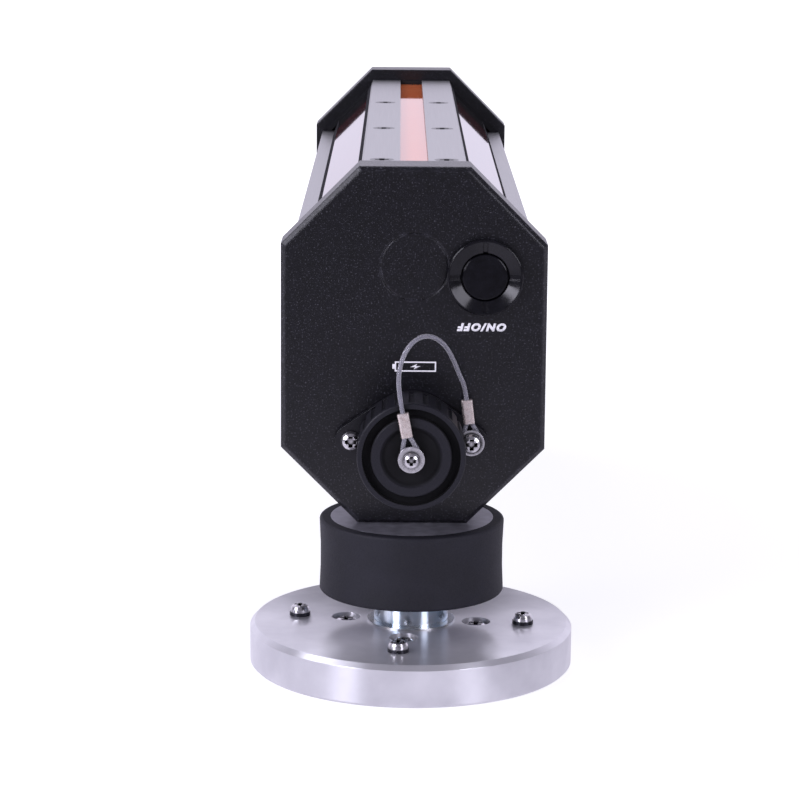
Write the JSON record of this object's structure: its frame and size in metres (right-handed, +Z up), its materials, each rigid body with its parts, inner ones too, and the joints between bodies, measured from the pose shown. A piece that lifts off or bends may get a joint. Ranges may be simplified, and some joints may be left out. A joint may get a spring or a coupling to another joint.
{
  "type": "laser receiver",
  "caption": "Octagonal machine laser receiver lying on swivelling magnet feet, with slanted sensor windows, an indicator strip, a push button and a charging socket under a tethered screw cap.",
  "frame": {"origin": "on the floor, midway between the two feet", "axes": "+Z up, +Y along the body from the front cap with the button and socket to the rear cap, +X to the right seen from the front"},
  "size_m": [0.096, 0.428, 0.1493],
  "materials": {
    "cap_coat": "black textured powder coat on aluminium",
    "black_anodised": "black anodised, satin",
    "turned_aluminium": "fine turned, bare",
    "plain_aluminium": "milled, bare",
    "bright_steel": "bright zinc or stainless",
    "dark_steel": "dark spring steel",
    "black_screw": "black oxide",
    "magnet_nickel": "nickel plate",
    "bush_bronze": "turned bronze",
    "black_rubber": "matt moulded",
    "cap_rubberised": "satin moulded",
    "orange_strip": "translucent orange, polished",
    "red_window": "deep red infra-red filter, polished",
    "gloss_black": "polished black",
    "black_plastic": "black moulded",
    "circuit_board": "solder-masked laminate",
    "sensor_black": "dark moulded lens",
    "lamp_clear": "clear moulded",
    "chip_black": "moulded packages",
    "cell_can": null,
    "lead_insulation": "soft sleeve",
    "pin_brass": "gold flashed",
    "coated_wire": "clear coat over dark steel strands",
    "ferrule_metal": "crimped, bare"
  },
  "bodies": {
    "receiver": {"back_channel": "black_anodised", "bar_screws": "black_screw", "battery_cells": "cell_can", "battery_cradle": "black_plastic", "battery_strap": "black_plastic", "blanking_plug": "cap_coat", "board_components": "chip_black", "buffer_plates": "bright_steel", "bulkheads": "plain_aluminium", "button_bezel": "gloss_black", "button_nut": "black_plastic", "button_seal": "black_rubber", "button_spring": "bright_steel", "button_switch": "black_plastic", "corner_rails": "black_anodised", "end_gaskets": "black_rubber", "foot_posts": "bright_steel", "front_cap": "cap_coat", "inner_leads": "lead_insulation", "lamp_board": "circuit_board", "lamps": "lamp_clear", "main_board": "circuit_board", "panel_eye": "coated_wire", "panel_ferrule": "ferrule_metal", "photodiodes": "sensor_black", "rear_cap": "cap_coat", "rod_screws": "black_screw", "rubber_buffers": "black_rubber", "sensor_boards": "circuit_board", "side_windows": "red_window", "slant_windows": "red_window", "socket_gasket": "black_rubber", "socket_insert": "black_plastic", "socket_pins": "pin_brass", "socket_screws": "bright_steel", "socket_shell": "black_plastic", "strip_window": "orange_strip", "tether_wire": "coated_wire", "tie_rods": "bright_steel", "top_bars": "black_anodised"},
    "front_foot": {"front_disc": "turned_aluminium", "front_bush": "bush_bronze", "front_retaining_plate": "bright_steel", "front_retainer_screws": "bright_steel", "front_pot_magnets": "magnet_nickel", "front_magnet_screws": "bright_steel", "front_spring_washers": "dark_steel"},
    "rear_foot": {"rear_disc": "turned_aluminium", "rear_bush": "bush_bronze", "rear_retaining_plate": "bright_steel", "rear_retainer_screws": "bright_steel", "rear_pot_magnets": "magnet_nickel", "rear_magnet_screws": "bright_steel", "rear_spring_washers": "dark_steel"},
    "power_button": {"button_actuator": "gloss_black"},
    "tether_end": {"cap_eye": "coated_wire", "cap_ferrule": "ferrule_metal"},
    "dust_cap": {"dust_cap": "cap_rubberised", "dust_cap_seal": "black_rubber", "cap_screw": "bright_steel"}
  },
  "joints": [
    {"name": "front_foot_swivel", "type": "hinge", "parent": "receiver", "child": "front_foot", "pos_m": [0, -0.166, 0.01], "axis": [0, 0, 1], "continuous": true},
    {"name": "rear_foot_swivel", "type": "hinge", "parent": "receiver", "child": "rear_foot", "pos_m": [0, 0.166, 0.01], "axis": [0, 0, 1], "continuous": true},
    {"name": "power_button_press", "type": "slide", "parent": "receiver", "child": "power_button", "axis": [0, 1, 0], "range_m": [0, 0.0025], "stiffness_N_per_m": 800, "springref_m": -0.002, "deforming": ["button_spring"]},
    {"name": "dust_cap_rise", "type": "slide", "parent": "receiver", "child": "tether_end", "axis": [0, -1, 0], "range_m": [0, 0.012], "deforming": ["tether_wire"]},
    {"name": "dust_cap_turn", "type": "hinge", "parent": "tether_end", "child": "dust_cap", "pos_m": [-0.0005, -0.19, 0.0698], "axis": [0, -1, 0], "range_deg": [0, 2880]}
  ],
  "couplings": [
    {"joint": "dust_cap_turn", "follows": "dust_cap_rise", "rad_per_m": 4188.8}
  ]
}
